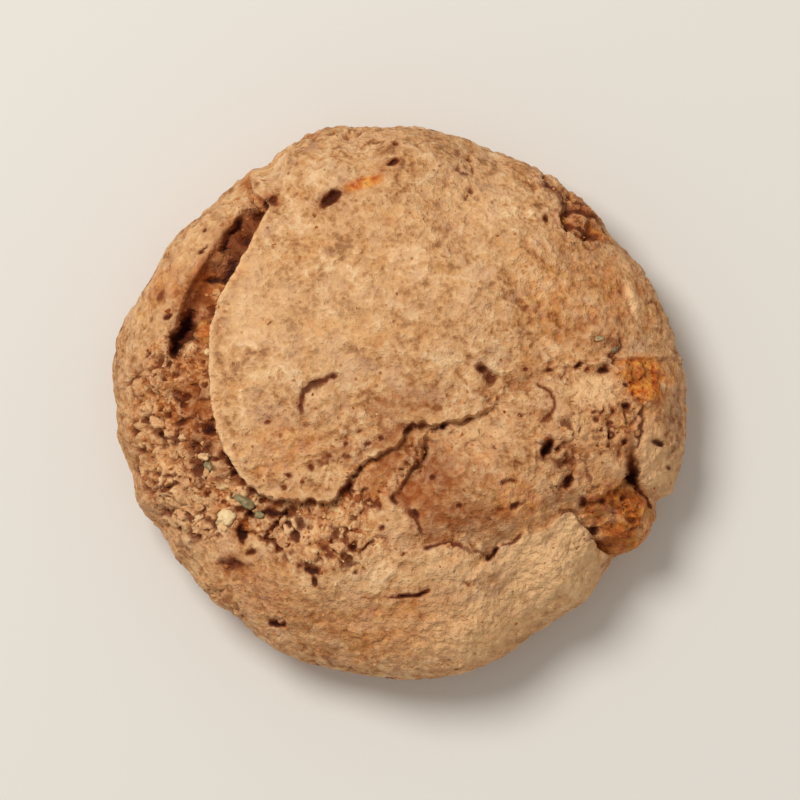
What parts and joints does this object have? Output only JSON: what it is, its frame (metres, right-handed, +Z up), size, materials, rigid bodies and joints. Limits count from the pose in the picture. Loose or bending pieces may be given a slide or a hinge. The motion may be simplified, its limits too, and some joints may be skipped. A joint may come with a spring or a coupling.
{
  "type": "walnut cookie",
  "caption": "Thick round walnut cookie with a cracked, raised plate of crust over porous crumb, a soft swelling over a buried nut and a flat underside.",
  "frame": {"origin": "middle of the cookie's box at the height of its flat underside", "axes": "+Z up through the thickness, +X along the longest width with the torn rim at its end, +Y towards the back, where the raised plate of crust is widest"},
  "size_m": [0.0708, 0.0684, 0.0249],
  "materials": {
    "crust": "matt golden-brown baked crust with a fine dry bubbled grain, browner in the cracks and where the crumb is bare"
  },
  "bodies": {
    "root": {"cookie": "crust"}
  },
  "joints": []
}
